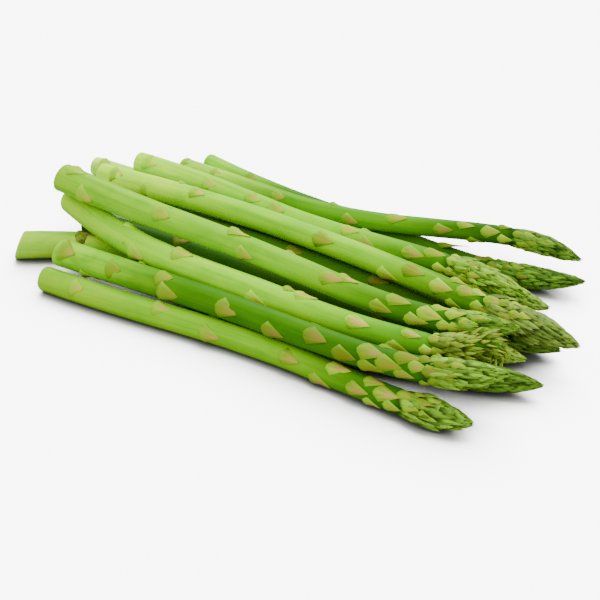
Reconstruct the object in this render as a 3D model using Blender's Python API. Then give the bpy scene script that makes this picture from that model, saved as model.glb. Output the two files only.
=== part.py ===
import math

import bmesh
import bpy
import numpy as np

MM = 0.001
THINNEST = 0.001  # an edge shorter than this is closed up
SHARP = 38  # an edge stays sharp past this angle between its faces

# A loose bundle of twelve green asparagus spears, lying down with the butts to -X and the tips to +X.
# Each spear is one grown piece, so its stem, its scale leaves and its bud head are fused in one solid.
# Lengths below are in millimetres and angles in degrees.

# Each row is one spear, lowest laid first:
# butt: where the cut end lies in plan, heading: its course in plan, length: along that course
# sway: sideways swings of the stem, as one, two and three half waves over its length
# radii: at the butt, the middle, the neck and the widest part of the head, head: length of the head
# tip_lift: how far the last part rises, heel_lift: how far the butt rises
# cut: how far the cut end slants, scales: (distance from the butt, angle from the top towards the front)
SPEARS = {
    "e": dict(
        butt=(-115, -38.5), heading=-0.1, length=219, sway=(4, 0, -1), radii=(5.9, 5.7, 5.4, 6.2),
        head=32, tip_lift=2.5, heel_lift=0, cut=0, seed=5,
        scales=((22, 45), (65, 15), (91, 80), (108, -25), (132, 50), (148, 105), (155, 15), (167, 75),
                (173, 5), (180, 45)),
    ),
    "c": dict(
        butt=(-143.5, -24.5), heading=5.2, length=263.5, sway=(1.5, 13.5, 5.5), radii=(6.6, 6.0, 5.4, 6.0),
        head=42, tip_lift=2.5, heel_lift=0.5, cut=5, seed=3,
        scales=((35, 15),),
    ),
    "l": dict(
        butt=(-126.5, 11), heading=1.1, length=231, sway=(-1, 2, 0), radii=(6.2, 5.9, 5.4, 5.6),
        head=38, tip_lift=0, heel_lift=0, cut=0, seed=12,
        scales=((55, 10), (164, 40)),
    ),
    "k": dict(
        butt=(-138, 38.5), heading=-2.2, length=253, sway=(-0.5, 1, -2), radii=(5.8, 5.4, 5.2, 5.9),
        head=42, tip_lift=0, heel_lift=0, cut=0, seed=11,
        scales=((116, 30), (162, 20)),
    ),
    "f": dict(
        butt=(-156, 58.5), heading=-0.6, length=254, sway=(-1, 0, 0.5), radii=(4.8, 4.9, 4.9, 5.7),
        head=42, tip_lift=0, heel_lift=0, cut=0, seed=6,
        scales=((9, 20),),
    ),
    "j": dict(
        butt=(-108, 92), heading=-3.5, length=214, sway=(-10, 1.5, -1.5), radii=(4.3, 4.5, 4.3, 5.6),
        head=46, tip_lift=4, heel_lift=0, cut=0, seed=10,
        scales=((33, 25), (147, -5)),
    ),
    "d": dict(
        butt=(-115.5, -25.5), heading=0.5, length=227, sway=(-5.5, 3, -1), radii=(6.6, 6.0, 5.5, 6.1),
        head=34, tip_lift=6, heel_lift=0, cut=2, seed=4,
        scales=((8, 35), (36, 55), (62, 20), (65, 85), (97, 60), (122, 90), (143, 40), (158, 80),
                (169, 30), (170, 105), (178, 65), (185, 15)),
    ),
    "g": dict(
        butt=(-135, 36), heading=-3.7, length=262, sway=(9, 1, 0), radii=(5.8, 5.6, 5.6, 6.8),
        head=48, tip_lift=0, heel_lift=0, cut=0, seed=7,
        scales=((12, 35), (30, 80), (57, 10), (128, 45), (165, 100), (177, 25), (193, 55), (199, -40),
                (206, 20)),
    ),
    "h": dict(
        butt=(-127.5, 57.5), heading=-3, length=219, sway=(-0.5, -1, 2), radii=(5.4, 5.3, 5.1, 5.9),
        head=42, tip_lift=0, heel_lift=0, cut=0, seed=8,
        scales=((10, 30), (47, 45), (73, 20), (87, 30), (127, 20), (137, 60), (160, 50), (170, 10)),
    ),
    "i": dict(
        butt=(-116, 80.5), heading=1.7, length=216, sway=(-11.5, -2.5, 2), radii=(4.7, 4.6, 4.4, 4.6),
        head=34, tip_lift=-6, heel_lift=0, cut=0, seed=9,
        scales=((6, 5), (25, 35), (66, 45), (97, -35), (107, 75), (129, 20), (152, 70), (163, 15),
                (175, 50), (168, 130)),
    ),
    "b": dict(
        butt=(-131, 6.5), heading=-3.4, length=222, sway=(-16.6, -1.5, -2), radii=(6.6, 6.5, 5.3, 5.0),
        head=20, tip_lift=0, heel_lift=0, cut=0, seed=2,
        scales=((15, 25), (58, 85), (80, 0), (123, 90), (137, -40), (144, -15), (172, 30), (159, 140),
                (192, 100)),
    ),
    "a": dict(
        butt=(-132, 1.5), heading=3.5, length=232, sway=(-8, 3, -2), radii=(6.9, 5.8, 5.4, 5.6),
        head=30, tip_lift=4, heel_lift=0, cut=1, seed=1,
        scales=((10, -15), (19, 90), (60, 35), (97, -25), (105, 85), (148, 35), (155, -10), (174, 75),
                (180, 10), (190, 90), (195, 35)),
    ),
}

# The wilted head of spear b leaves the stem here and nods over: (onwards, upwards) from that spot,
# with the radius there.
NOD_FROM = 206.0
NOD_EASE = 30  # points of the straight stem before it that ease into the bend
NOD = ((7.0, 1.2, 4.7), (14.0, 3.4, 4.5), (20.0, 6.2, 4.1), (24.5, 7.4, 3.7), (28.2, 6.0, 3.2),
       (29.2, 2.4, 2.6), (28.2, -1.2, 1.8))

CLEARANCE = 0.35  # left between a spear and what it lies on
WEIGHT_AT = 0.45  # the centre of weight, as a share of the length
HEEL_PART = 0.25  # the share of the length that a raised butt takes
LIFT_FROM = 0.8  # where a raised or drooping tip begins
SIDES = 10  # flats round a stem
STEM_RINGS = 10  # rings of the stem up to its head
HEAD_RINGS = (0.12, 0.3, 0.5, 0.7, 0.88)  # rings of a head's core, as shares of the head's length
CUT_EDGE, CUT_RIM = 1.2, 0.86  # the rounded edge of the cut end: its depth, and the share left of the radius
CUT_SIDE = -30  # the side on which a slanted cut leaves the stem short
FLAT_SPOT = 0.35  # what comes this near the floor is pressed flat on it

SCALE_WIDTH, SCALE_LENGTH = 1.45, 1.9  # a scale leaf of the stem, as multiples of the stem's radius
SCALE_STEP_BUTT, SCALE_STEP_NECK = 29.0, 8.0  # distance from one scale to the next up the stem
SCALE_ROOM = 9.5  # distance that a scale keeps from the next one
MARKED_SIDE = (-40, 128)  # the side of a stem whose scales are given in its row; the spiral fills the rest
SCALE_BULGE = 0.95  # how far the bud under a scale lifts it
SCALE_ROOT = 0.9  # how deep a scale is rooted
ROOT_BEFORE = 4  # a scale's place in its spear's row is its middle, and its root lies this far before
SMALL_SCALE = 0.9  # size of a scale that the spiral places
FIRST_SCALE = 14.0  # where the spiral starts
GOLDEN_ANGLE = 137.5  # turn from one leaf to the next
BUDS = 17  # scale leaves of a head
BUD_REACH = 0.86  # how far up the head the last one is rooted
BUD_LENGTH = 0.34  # length of the first one, as a share of the head's length
BUD_WIDTH = 0.95  # its width, as a multiple of the head's radius
BUD_ROOT = 2.6  # how deep it is rooted, as a multiple of its height
CORE_SHARE = 0.8  # radius of the head's core, under its leaves


# The course of a spear in plan, and its radius
def course(spear, t):
    one, two, three = spear["sway"]
    swing = one * np.sin(math.pi * t) + two * np.sin(2 * math.pi * t) + three * np.sin(3 * math.pi * t)
    a = math.radians(spear["heading"])
    x = spear["butt"][0] + spear["length"] * t * math.cos(a) - swing * math.sin(a)
    y = spear["butt"][1] + spear["length"] * t * math.sin(a) + swing * math.cos(a)
    return x, y


def radius(spear, t):
    butt, middle, neck, widest = spear["radii"]
    head = spear["head"] / spear["length"]
    at = [0, 0.45, 1 - head - 0.03, 1 - 0.66 * head, 1 - 0.42 * head, 1 - 0.18 * head, 1]
    return np.interp(t, at, [butt, middle, neck, widest, 0.9 * widest, 0.55 * widest, 0.6])


def lift(spear, t):
    tip = spear["tip_lift"] * np.clip((t - LIFT_FROM) / (1 - LIFT_FROM), 0, 1) ** 2
    return tip + spear["heel_lift"] * np.clip((HEEL_PART - t) / HEEL_PART, 0, 1) ** 2


# Lays a spear on the floor and on those below it. It comes down until it touches on either side of its
# weight, so what it rests on is the top of a hull drawn over everything it has to clear.
def lay(spear, below):
    t = np.linspace(0, 1, 72)
    x, y = course(spear, t)
    r = radius(spear, t)
    in_head = t > 1 - spear["head"] / spear["length"]
    need = r * np.where(in_head, 1, math.cos(math.pi / SIDES))
    for bx, by, bz, br in below:
        flat = (x[:, None] - bx) ** 2 + (y[:, None] - by) ** 2
        reach = r[:, None] + br + CLEARANCE
        over = np.where(flat < reach**2, bz + np.sqrt(np.maximum(reach**2 - flat, 0)), -1e9)
        need = np.maximum(need, over.max(axis=1))
    need = need - lift(spear, t)
    left, right = np.where(t < WEIGHT_AT)[0], np.where(t >= WEIGHT_AT)[0]
    tl, tr = t[left][:, None], t[right][None]
    zl, zr = need[left][:, None], need[right][None]
    level = zl + (zr - zl) * (WEIGHT_AT - tl) / (tr - tl)
    i, j = np.unravel_index(np.argmax(level), level.shape)
    i, j = left[i], right[j]
    slope = (need[j] - need[i]) / (t[j] - t[i])
    return need[i] - slope * t[i], slope


# The centreline of a laid spear as points in space, closely spaced, with the radius at each
def centreline(spear, start, slope, nods):
    t = np.linspace(0, 1, 300)
    x, y = course(spear, t)
    z = start + slope * t + lift(spear, t)
    points = np.stack([x, y, z], axis=1)
    r = radius(spear, t)
    if nods:
        run = np.linalg.norm(np.diff(points, axis=0), axis=1).cumsum()
        cut = int(np.searchsorted(run, NOD_FROM))
        ahead = points[cut] - points[cut - 1]
        ahead[2] = 0
        ahead /= np.linalg.norm(ahead)
        knots = [points[cut - NOD_EASE], points[cut]]
        knots += [points[cut] + ahead * o + np.array([0, 0, u]) for o, u, _ in NOD]
        knots = np.array(knots)
        at = np.concatenate([[0], np.linalg.norm(np.diff(knots, axis=0), axis=1).cumsum()])
        fine = np.linspace(at[1], at[-1], 60)[1:]
        bend = np.stack([np.interp(fine, at, knots[:, k]) for k in range(3)], axis=1)
        for _ in range(12):
            bend[1:-1] = (bend[:-2] + 2 * bend[1:-1] + bend[2:]) / 4
        sizes = np.interp(fine, at, [r[cut - NOD_EASE], r[cut]] + [s for _, _, s in NOD])
        points = np.concatenate([points[: cut + 1], bend])
        r = np.concatenate([r[: cut + 1], sizes])
    return points, r


# A stem's own measures: a place is given by the distance along it, the angle round it and the height
# over its skin
class Stem:
    def __init__(self, points, r):
        self.points, self.r = points, r
        step = np.linalg.norm(np.diff(points, axis=0), axis=1)
        self.run = np.concatenate([[0], step.cumsum()])
        self.length = self.run[-1]
        ahead = np.gradient(points, axis=0)
        self.ahead = ahead / np.linalg.norm(ahead, axis=1)[:, None]
        up = np.array([0, 0, 1.0])
        ups = []
        for a in self.ahead:
            up = up - a * up.dot(a)
            up = up / np.linalg.norm(up)
            ups.append(up)
        self.up = np.array(ups)
        self.side = np.cross(self.ahead, self.up)

    def at(self, values, s):
        return np.array([np.interp(s, self.run, values[:, k]) for k in range(3)])

    def skin(self, s):
        return float(np.interp(s, self.run, self.r))

    def place(self, s, angle, height, core=None):
        base = self.skin(s) if core is None else core
        a = math.radians(angle)
        out = self.at(self.up, s) * math.cos(a) + self.at(self.side, s) * math.sin(a)
        return self.at(self.points, s) + out * (base + height)


def make_object(name, corners, faces):
    mesh = bpy.data.meshes.new(name)
    mesh.from_pydata([tuple(c * MM for c in corner) for corner in corners], [], faces)
    bm = bmesh.new()
    bm.from_mesh(mesh)
    bmesh.ops.recalc_face_normals(bm, faces=bm.faces)
    bm.to_mesh(mesh)
    bm.free()
    obj = bpy.data.objects.new(name, mesh)
    bpy.context.scene.collection.objects.link(obj)
    return obj


# The stem runs into the core of its head. Its rings stand closer together in the head, the cut end may
# slope, and where it lies on the floor it is flat.
def stem_solid(name, spear, stem, head_from, lies_low):
    body = np.linspace(0, head_from, STEM_RINGS)
    head = head_from + (stem.length - head_from) * np.array(HEAD_RINGS)
    stations = np.concatenate([[0.0, CUT_EDGE], body[1:], head])
    corners, faces = [], []
    for n, s in enumerate(stations):
        share = CORE_SHARE if s > head_from else 1
        ring = stem.skin(s) * share * (CUT_RIM if n == 0 else 1)
        for k in range(SIDES):
            angle = (k + 0.5) * 360 / SIDES
            slant = spear["cut"] * (1 + math.cos(math.radians(angle - CUT_SIDE))) / 2
            slid = s + slant if n < 2 else s
            corner = stem.place(slid, angle, 0, ring)
            if lies_low and corner[2] < FLAT_SPOT:
                corner[2] = 0
            corners.append(corner)
    tip = len(corners)
    corners.append(stem.at(stem.points, stem.length))
    for n in range(len(stations) - 1):
        for k in range(SIDES):
            a, b = n * SIDES + k, n * SIDES + (k + 1) % SIDES
            faces.append((a, b, b + SIDES, a + SIDES))
    last = (len(stations) - 1) * SIDES
    for k in range(SIDES):
        faces.append((last + k, last + (k + 1) % SIDES, tip))
    faces.append(tuple(range(SIDES)))
    return make_object(name, corners, faces)


# A scale leaf: a rooted, pointed plate with a ridge over its bud. outline gives (onwards, sideways,
# height) round it, ridge the top point
def leaf_solid(stem, s, angle, outline, ridge, root):
    def corner(onwards, sideways, height):
        there = min(s + onwards, stem.length - 0.5)
        turn = math.degrees(sideways / max(stem.skin(there), 2.0))
        return stem.place(there, angle + turn, height)

    n = len(outline)
    corners = [corner(*o) for o in outline] + [corner(o[0], o[1], -root) for o in outline]
    corners.append(corner(*ridge))
    faces = [(k, (k + 1) % n, 2 * n) for k in range(n)]
    faces += [(k, k + n, (k + 1) % n + n, (k + 1) % n) for k in range(n)]
    faces.append(tuple(range(n, 2 * n)))
    return make_object("leaf", corners, faces), corners


def stem_scale(stem, s, size):
    w = SCALE_WIDTH * stem.skin(s) * size
    length = SCALE_LENGTH * stem.skin(s) * size
    outline = (
        (0.0, -0.3 * w, 0.1),
        (0.0, 0.3 * w, 0.1),
        (0.4 * length, 0.5 * w, 0.3),
        (length, 0.0, 0.45),
        (0.4 * length, -0.5 * w, 0.3),
    )
    return outline, (0.35 * length, 0.0, SCALE_BULGE * size)


def head_scale(length, width, height):
    outline = (
        (0.0, 0.0, -1.6 * height),
        (0.42 * length, 0.5 * width, -0.8 * height),
        (length, 0.0, 0.0),
        (0.42 * length, -0.5 * width, -0.8 * height),
    )
    return outline, (0.55 * length, 0.0, -0.1 * height)


# Whether corners keep clear of the floor and of the other spears
def is_clear(corners, name, stems):
    for c in corners:
        if c[2] < 0.3:
            return False
        for other, stem in stems.items():
            if other != name:
                gap = np.linalg.norm(stem.points - c, axis=1) - stem.r
                if gap.min() < CLEARANCE:
                    return False
    return True


def grow_leaves(name, spear, stem, stems, head_from):
    draw = np.random.RandomState(spear["seed"])
    placed, leaves = [], []

    def add(s, angle, outline, ridge, root, careful):
        leaf, corners = leaf_solid(stem, s, angle, outline, ridge, root)
        tops = corners[: len(outline)] + corners[-1:]
        if careful and not is_clear(tops, name, stems):
            bpy.data.objects.remove(leaf)
            return
        leaves.append(leaf)

    for s, angle in spear["scales"]:
        outline, ridge = stem_scale(stem, s - ROOT_BEFORE, 1.0)
        add(s - ROOT_BEFORE, angle, outline, ridge, SCALE_ROOT, True)
        placed.append((s - ROOT_BEFORE, angle))
    s, angle = FIRST_SCALE + 6 * draw.rand(), 360 * draw.rand()
    while s < head_from + 2:
        free = not MARKED_SIDE[0] < (angle + 180) % 360 - 180 < MARKED_SIDE[1]
        for ps, pa in placed:
            round_way = math.radians(abs((angle - pa + 180) % 360 - 180)) * stem.skin(s)
            free = free and math.hypot(s - ps, round_way) > SCALE_ROOM
        if free:
            outline, ridge = stem_scale(stem, s, SMALL_SCALE)
            add(s, angle, outline, ridge, SCALE_ROOT, True)
            placed.append((s, angle))
        along = s / head_from
        s += SCALE_STEP_BUTT + (SCALE_STEP_NECK - SCALE_STEP_BUTT) * along**0.8
        angle += GOLDEN_ANGLE + 16 * (draw.rand() - 0.5)
    span = stem.length - head_from
    for n in range(BUDS):
        share = (n + 0.5) / BUDS
        there = head_from + span * BUD_REACH * share**0.9
        size = 1 - 0.5 * share
        wide = BUD_WIDTH * stem.skin(there) * (1 - 0.15 * share)
        room = (1 - CORE_SHARE) * stem.skin(there)
        outline, ridge = head_scale(BUD_LENGTH * span * size, wide, room)
        add(there, angle, outline, ridge, BUD_ROOT * room, False)
        angle += GOLDEN_ANGLE + 8 * (draw.rand() - 0.5)
    return leaves


# Fuses the leaves to their stem, then drops loose scraps and points the faces outwards
def fuse(obj, leaves):
    group = bpy.data.collections.new("leaves")
    bpy.context.scene.collection.children.link(group)
    for leaf in leaves:
        group.objects.link(leaf)
        bpy.context.scene.collection.objects.unlink(leaf)
    join = obj.modifiers.new("join", "BOOLEAN")
    join.operation = "UNION"
    join.operand_type = "COLLECTION"
    join.collection = group
    join.solver = "EXACT"
    bpy.context.view_layer.objects.active = obj
    bpy.ops.object.modifier_apply(modifier=join.name)
    for leaf in leaves:
        bpy.data.objects.remove(leaf)
    bpy.data.collections.remove(group)

    bm = bmesh.new()
    bm.from_mesh(obj.data)
    bmesh.ops.dissolve_degenerate(bm, edges=bm.edges, dist=THINNEST * MM)
    parts, seen = [], set()
    for v in bm.verts:
        if v in seen:
            continue
        part, todo = [], [v]
        seen.add(v)
        while todo:
            u = todo.pop()
            part.append(u)
            for e in u.link_edges:
                w = e.other_vert(u)
                if w not in seen:
                    seen.add(w)
                    todo.append(w)
        parts.append(part)
    parts.sort(key=len)
    for part in parts[:-1]:
        bmesh.ops.delete(bm, geom=part, context="VERTS")
    bmesh.ops.recalc_face_normals(bm, faces=bm.faces)
    for edge in bm.edges:
        edge.smooth = edge.calc_face_angle(0) < math.radians(SHARP)
    for face in bm.faces:
        face.smooth = True
    bm.to_mesh(obj.data)
    bm.free()


def skin_material(name, shade):
    mat = bpy.data.materials.new(name)
    mat.use_nodes = True
    shader = mat.node_tree.nodes["Principled BSDF"]
    shader.inputs["Base Color"].default_value = (0.22 * shade, 0.46 * shade, 0.04 * shade, 1)
    shader.inputs["Roughness"].default_value = 0.45
    return mat


for old in list(bpy.data.objects):
    bpy.data.objects.remove(old)

below, stems, low = [], {}, {}
for name, spear in SPEARS.items():
    start, slope = lay(spear, below)
    points, r = centreline(spear, start, slope, name == "b")
    stems[name] = Stem(points, r)
    below.append((points[:, 0], points[:, 1], points[:, 2], r))
    low[name] = (points[:, 2] - r).min() < 0.5

built = []
for n, (name, spear) in enumerate(SPEARS.items()):
    stem = stems[name]
    head_from = NOD_FROM if name == "b" else stem.length - spear["head"]
    obj = stem_solid("spear_" + name, spear, stem, head_from, low[name])
    leaves = grow_leaves(name, spear, stem, stems, head_from)
    fuse(obj, leaves)
    obj.data.materials.clear()
    obj.data.materials.append(skin_material("skin_" + name, 0.85 + 0.025 * n))
    built.append(obj)

# The bundle's own origin: the middle of its footprint, on the floor
every = np.array([v.co for obj in built for v in obj.data.vertices])
middle = (every.min(axis=0) + every.max(axis=0)) / 2
middle[2] = every[:, 2].min()
for obj in built:
    for v in obj.data.vertices:
        v.co -= type(v.co)(middle)
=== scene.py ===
import math

import bmesh
import bpy
import numpy as np
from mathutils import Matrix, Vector


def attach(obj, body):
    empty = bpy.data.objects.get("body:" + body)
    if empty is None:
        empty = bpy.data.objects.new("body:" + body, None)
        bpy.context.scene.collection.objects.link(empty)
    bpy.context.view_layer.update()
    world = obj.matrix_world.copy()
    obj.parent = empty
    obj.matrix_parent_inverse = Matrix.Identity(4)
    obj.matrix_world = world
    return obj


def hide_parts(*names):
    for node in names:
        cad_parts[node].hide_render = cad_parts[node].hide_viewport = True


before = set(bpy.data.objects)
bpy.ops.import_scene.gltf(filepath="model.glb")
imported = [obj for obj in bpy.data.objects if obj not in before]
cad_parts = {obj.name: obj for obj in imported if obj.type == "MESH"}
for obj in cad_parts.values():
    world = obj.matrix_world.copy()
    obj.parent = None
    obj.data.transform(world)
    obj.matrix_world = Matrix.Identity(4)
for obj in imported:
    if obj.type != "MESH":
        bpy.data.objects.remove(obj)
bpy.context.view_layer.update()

# The spears as they lie
# Each spear is one shoot of a plant, cut off near the ground. The bundle is untied: a lower layer lies on
# the surface and the other spears lie on those, each one down where it touches on either side of its
# weight. Lengths are in millimetres and angles in degrees.

MM = 0.001  # one millimetre in the scene's metres

# butt: where the cut end lies in plan, heading: the course in plan, length: along that course
# sway: sideways swings, as one, two and three half waves over the length
# radii: at the butt, the middle, the neck and the widest part of the head, head: length of the head
# tip_lift, heel_lift: how far the last part and the butt rise, cut: how far the cut end slants
# scales: the scale leaves that show best, as (distance from the butt, angle from the top to the front)
# more: the smaller ones that crowd up to the head
SPEARS = {
    "e": dict(
        butt=(-115, -38.5), heading=-0.1, length=219, sway=(4, 0, -1), radii=(5.9, 5.7, 5.4, 6.2),
        head=32, tip_lift=2.5, heel_lift=0, cut=0, seed=5,
        scales=((22, 45), (65, 15), (91, 80), (108, -25), (132, 50), (148, 105), (155, 15), (167, 75),
                (173, 5), (180, 45)),
        more=((175, 115), (185, 90), (190, 15)),
    ),
    "c": dict(
        butt=(-143.5, -24.5), heading=5.2, length=263.5, sway=(1.5, 13.5, 5.5), radii=(6.6, 6.0, 5.4, 6.0),
        head=42, tip_lift=2.5, heel_lift=0.5, cut=5, seed=3,
        scales=((35, 15),),
        more=(),
    ),
    "l": dict(
        butt=(-126.5, 11), heading=1.1, length=231, sway=(-1, 2, 0), radii=(6.2, 5.9, 5.4, 5.6),
        head=38, tip_lift=0, heel_lift=0, cut=0, seed=12,
        scales=((55, 10), (164, 40)),
        more=(),
    ),
    "k": dict(
        butt=(-138, 38.5), heading=-2.2, length=253, sway=(-0.5, 1, -2), radii=(5.8, 5.4, 5.2, 5.9),
        head=42, tip_lift=0, heel_lift=0, cut=0, seed=11,
        scales=((116, 30), (162, 20)),
        more=(),
    ),
    "f": dict(
        butt=(-156, 58.5), heading=-0.6, length=254, sway=(-1, 0, 0.5), radii=(4.8, 4.9, 4.9, 5.7),
        head=42, tip_lift=0, heel_lift=0, cut=0, seed=6,
        scales=((9, 20),),
        more=(),
    ),
    "j": dict(
        butt=(-108, 92), heading=-3.5, length=214, sway=(-10, 1.5, -1.5), radii=(4.3, 4.5, 4.3, 5.6),
        head=46, tip_lift=4, heel_lift=0, cut=0, seed=10,
        scales=((33, 25), (147, -5)),
        more=(),
    ),
    "d": dict(
        butt=(-115.5, -25.5), heading=0.5, length=227, sway=(-5.5, 3, -1), radii=(6.6, 6.0, 5.5, 6.1),
        head=34, tip_lift=6, heel_lift=0, cut=2, seed=4,
        scales=((8, 35), (36, 55), (62, 20), (65, 85), (97, 60), (122, 90), (143, 40), (158, 80),
                (169, 30), (170, 105), (178, 65), (185, 15)),
        more=((186, 95), (192, 45)),
    ),
    "g": dict(
        butt=(-135, 36), heading=-3.7, length=262, sway=(9, 1, 0), radii=(5.8, 5.6, 5.6, 6.8),
        head=48, tip_lift=0, heel_lift=0, cut=0, seed=7,
        scales=((12, 35), (30, 80), (57, 10), (128, 45), (165, 100), (177, 25), (193, 55), (199, -40),
                (206, 20)),
        more=((220, 20), (215, 70), (202, 110)),
    ),
    "h": dict(
        butt=(-127.5, 57.5), heading=-3, length=219, sway=(-0.5, -1, 2), radii=(5.4, 5.3, 5.1, 5.9),
        head=42, tip_lift=0, heel_lift=0, cut=0, seed=8,
        scales=((10, 30), (47, 45), (73, 20), (87, 30), (127, 20), (137, 60), (160, 50), (170, 10)),
        more=((176, 85), (182, 20)),
    ),
    "i": dict(
        butt=(-116, 80.5), heading=1.7, length=216, sway=(-11.5, -2.5, 2), radii=(4.7, 4.6, 4.4, 4.6),
        head=34, tip_lift=-6, heel_lift=0, cut=0, seed=9,
        scales=((6, 5), (25, 35), (66, 45), (97, -35), (107, 75), (129, 20), (152, 70), (163, 15),
                (175, 50), (168, 130)),
        more=((182, -10), (183, 85)),
    ),
    "b": dict(
        butt=(-131, 6.5), heading=-3.4, length=222, sway=(-16.6, -1.5, -2), radii=(6.6, 6.5, 5.3, 5.0),
        head=20, tip_lift=0, heel_lift=0, cut=0, seed=2,
        scales=((15, 25), (58, 85), (80, 0), (123, 90), (137, -40), (144, -15), (172, 30), (159, 140),
                (192, 100)),
        more=((197, 15), (191, 105), (206, 85), (209, 10)),
    ),
    "a": dict(
        butt=(-132, 1.5), heading=3.5, length=232, sway=(-8, 3, -2), radii=(6.9, 5.8, 5.4, 5.6),
        head=30, tip_lift=4, heel_lift=0, cut=1, seed=1,
        scales=((10, -15), (19, 90), (60, 35), (97, -25), (105, 85), (148, 35), (155, -10), (174, 75),
                (180, 10), (190, 90), (195, 35)),
        more=((200, -15), (207, 15), (204, 80)),
    ),
}

# The wilted head of spear b leaves the stem here and nods over: (onwards, upwards) from that spot,
# with the radius there.
NOD_FROM = 206.0
NOD_EASE = 30  # points of the straight stem before it that ease into the bend
NOD = ((7.0, 1.2, 4.7), (14.0, 3.4, 4.5), (20.0, 6.2, 4.1), (24.5, 7.4, 3.7), (28.2, 6.0, 3.2),
       (29.2, 2.4, 2.6), (28.2, -1.2, 1.8))

CLEARANCE = 0.35  # left between a spear and what it lies on
WEIGHT_AT = 0.45  # the centre of weight, as a share of the length
HEEL_PART = 0.25  # the share of the length that a raised butt takes
LIFT_FROM = 0.8  # where a raised or drooping tip begins
SIDES = 10  # flats of the plain solid that this one stands for
MIDDLE = (-14.8, 25.8)  # the middle of the bundle's footprint in plan


# The course of a spear in plan, and its radius
def course(spear, t):
    one, two, three = spear["sway"]
    swing = one * np.sin(math.pi * t) + two * np.sin(2 * math.pi * t) + three * np.sin(3 * math.pi * t)
    a = math.radians(spear["heading"])
    x = spear["butt"][0] + spear["length"] * t * math.cos(a) - swing * math.sin(a)
    y = spear["butt"][1] + spear["length"] * t * math.sin(a) + swing * math.cos(a)
    return x, y


def radius(spear, t):
    butt, middle, neck, widest = spear["radii"]
    head = spear["head"] / spear["length"]
    at = [0, 0.45, 1 - head - 0.03, 1 - 0.66 * head, 1 - 0.42 * head, 1 - 0.18 * head, 1]
    return np.interp(t, at, [butt, middle, neck, widest, 0.9 * widest, 0.55 * widest, 0.6])


def lift(spear, t):
    tip = spear["tip_lift"] * np.clip((t - LIFT_FROM) / (1 - LIFT_FROM), 0, 1) ** 2
    return tip + spear["heel_lift"] * np.clip((HEEL_PART - t) / HEEL_PART, 0, 1) ** 2


# Lays a spear on the floor and on those below it. It comes down until it touches on either side of its
# weight, so what it rests on is the top of a hull drawn over everything it has to clear.
def lay(spear, below):
    t = np.linspace(0, 1, 72)
    x, y = course(spear, t)
    r = radius(spear, t)
    in_head = t > 1 - spear["head"] / spear["length"]
    need = r * np.where(in_head, 1, math.cos(math.pi / SIDES))
    for bx, by, bz, br in below:
        flat = (x[:, None] - bx) ** 2 + (y[:, None] - by) ** 2
        reach = r[:, None] + br + CLEARANCE
        over = np.where(flat < reach**2, bz + np.sqrt(np.maximum(reach**2 - flat, 0)), -1e9)
        need = np.maximum(need, over.max(axis=1))
    need = need - lift(spear, t)
    left, right = np.where(t < WEIGHT_AT)[0], np.where(t >= WEIGHT_AT)[0]
    tl, tr = t[left][:, None], t[right][None]
    zl, zr = need[left][:, None], need[right][None]
    level = zl + (zr - zl) * (WEIGHT_AT - tl) / (tr - tl)
    i, j = np.unravel_index(np.argmax(level), level.shape)
    i, j = left[i], right[j]
    slope = (need[j] - need[i]) / (t[j] - t[i])
    return need[i] - slope * t[i], slope


# The centreline of a laid spear as points in space, closely spaced, with the radius at each
def centreline(spear, start, slope, nods):
    t = np.linspace(0, 1, 300)
    x, y = course(spear, t)
    z = start + slope * t + lift(spear, t)
    points = np.stack([x, y, z], axis=1)
    r = radius(spear, t)
    if nods:
        run = np.linalg.norm(np.diff(points, axis=0), axis=1).cumsum()
        cut = int(np.searchsorted(run, NOD_FROM))
        ahead = points[cut] - points[cut - 1]
        ahead[2] = 0
        ahead /= np.linalg.norm(ahead)
        knots = [points[cut - NOD_EASE], points[cut]]
        knots += [points[cut] + ahead * o + np.array([0, 0, u]) for o, u, _ in NOD]
        knots = np.array(knots)
        at = np.concatenate([[0], np.linalg.norm(np.diff(knots, axis=0), axis=1).cumsum()])
        fine = np.linspace(at[1], at[-1], 60)[1:]
        bend = np.stack([np.interp(fine, at, knots[:, k]) for k in range(3)], axis=1)
        for _ in range(12):
            bend[1:-1] = (bend[:-2] + 2 * bend[1:-1] + bend[2:]) / 4
        sizes = np.interp(fine, at, [r[cut - NOD_EASE], r[cut]] + [s for _, _, s in NOD])
        points = np.concatenate([points[: cut + 1], bend])
        r = np.concatenate([r[: cut + 1], sizes])
    return points, r


# A shoot's own measures, in metres in the bundle's frame. A place on it is given by the distance along
# it and the angle round it; side is the side towards the front.
class Shoot:
    def __init__(self, points, r):
        self.points = (points - np.array([*MIDDLE, 0])) * MM
        self.r = r * MM
        step = np.linalg.norm(np.diff(self.points, axis=0), axis=1)
        self.run = np.concatenate([[0], step.cumsum()])
        self.length = self.run[-1]
        ahead = np.gradient(self.points, axis=0)
        self.ahead = ahead / np.linalg.norm(ahead, axis=1)[:, None]
        up = np.array([0, 0, 1.0])
        ups = []
        for a in self.ahead:
            up = up - a * up.dot(a)
            up = up / np.linalg.norm(up)
            ups.append(up)
        self.up = np.array(ups)
        self.side = np.cross(self.ahead, self.up)

    def at(self, values, s):
        return np.array([np.interp(s, self.run, values[:, k]) for k in range(3)])

    def skin(self, s):
        return float(np.interp(s, self.run, self.r))

    def place(self, s, angle, height):
        out = self.at(self.up, s) * math.cos(angle) + self.at(self.side, s) * math.sin(angle)
        return self.at(self.points, s) + out * (self.skin(s) + height)


below, shoots = [], {}
for name, spear in SPEARS.items():
    start, slope = lay(spear, below)
    points, r = centreline(spear, start, slope, name == "b")
    below.append((points[:, 0], points[:, 1], points[:, 2], r))
    shoots[name] = Shoot(points, r)
    spear["head_from"] = NOD_FROM * MM if name == "b" else shoots[name].length - spear["head"] * MM


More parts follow.
